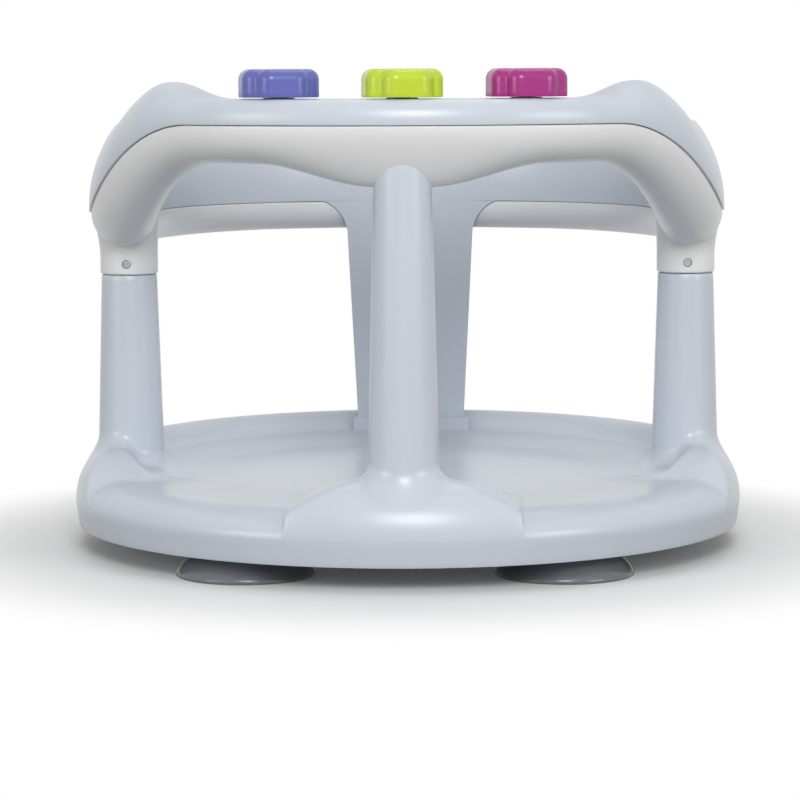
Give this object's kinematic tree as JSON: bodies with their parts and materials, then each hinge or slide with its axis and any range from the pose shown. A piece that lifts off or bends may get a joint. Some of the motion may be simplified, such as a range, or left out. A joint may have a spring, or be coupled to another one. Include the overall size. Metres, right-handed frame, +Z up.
{
  "type": "baby bath ring",
  "caption": "Baby bath ring: round seat base on suction cups, upright posts and a back leg carry a ring with a front tray of spinning toys.",
  "frame": {"origin": "middle of the round base, on the surface that the suction cups stand on", "axes": "+Z up, front (the toy tray and the single front post) towards -Y, +X to the right seen from the front"},
  "size_m": [0.342, 0.342, 0.243],
  "materials": {
    "pale_blue_plastic": "smooth moulded, soft gloss",
    "white_plastic": "smooth moulded, soft gloss",
    "blue_toy": "smooth moulded, glossy",
    "green_toy": "smooth moulded, glossy",
    "magenta_toy": "smooth moulded, glossy",
    "cup_rubber": "clear grey soft rubber",
    "screw_steel": "zinc-plated"
  },
  "bodies": {
    "stand": {"base": "pale_blue_plastic", "upper_shell": "pale_blue_plastic", "lower_shell": "white_plastic", "suction_cup_front_left": "cup_rubber", "suction_cup_front_right": "cup_rubber", "suction_cup_rear_left": "cup_rubber", "suction_cup_rear_right": "cup_rubber", "collar_screw_left": "screw_steel", "collar_screw_right": "screw_steel", "front_post_screw": "screw_steel", "leg_screws": "screw_steel", "shell_screws": "screw_steel"},
    "toy_left": {"toy_left": "blue_toy", "toy_washer_left": "screw_steel", "toy_screw_left": "screw_steel"},
    "toy_centre": {"toy_centre": "green_toy", "toy_washer_centre": "screw_steel", "toy_screw_centre": "screw_steel"},
    "toy_right": {"toy_right": "magenta_toy", "toy_washer_right": "screw_steel", "toy_screw_right": "screw_steel"}
  },
  "joints": [
    {"name": "toy_left_spin", "type": "hinge", "parent": "stand", "child": "toy_left", "pos_m": [-0.05816, -0.13064, 0.2298], "axis": [0, 0, 1], "continuous": true},
    {"name": "toy_centre_spin", "type": "hinge", "parent": "stand", "child": "toy_centre", "pos_m": [0, -0.143, 0.2298], "axis": [0, 0, 1], "continuous": true},
    {"name": "toy_right_spin", "type": "hinge", "parent": "stand", "child": "toy_right", "pos_m": [0.05816, -0.13064, 0.2298], "axis": [0, 0, 1], "continuous": true}
  ]
}
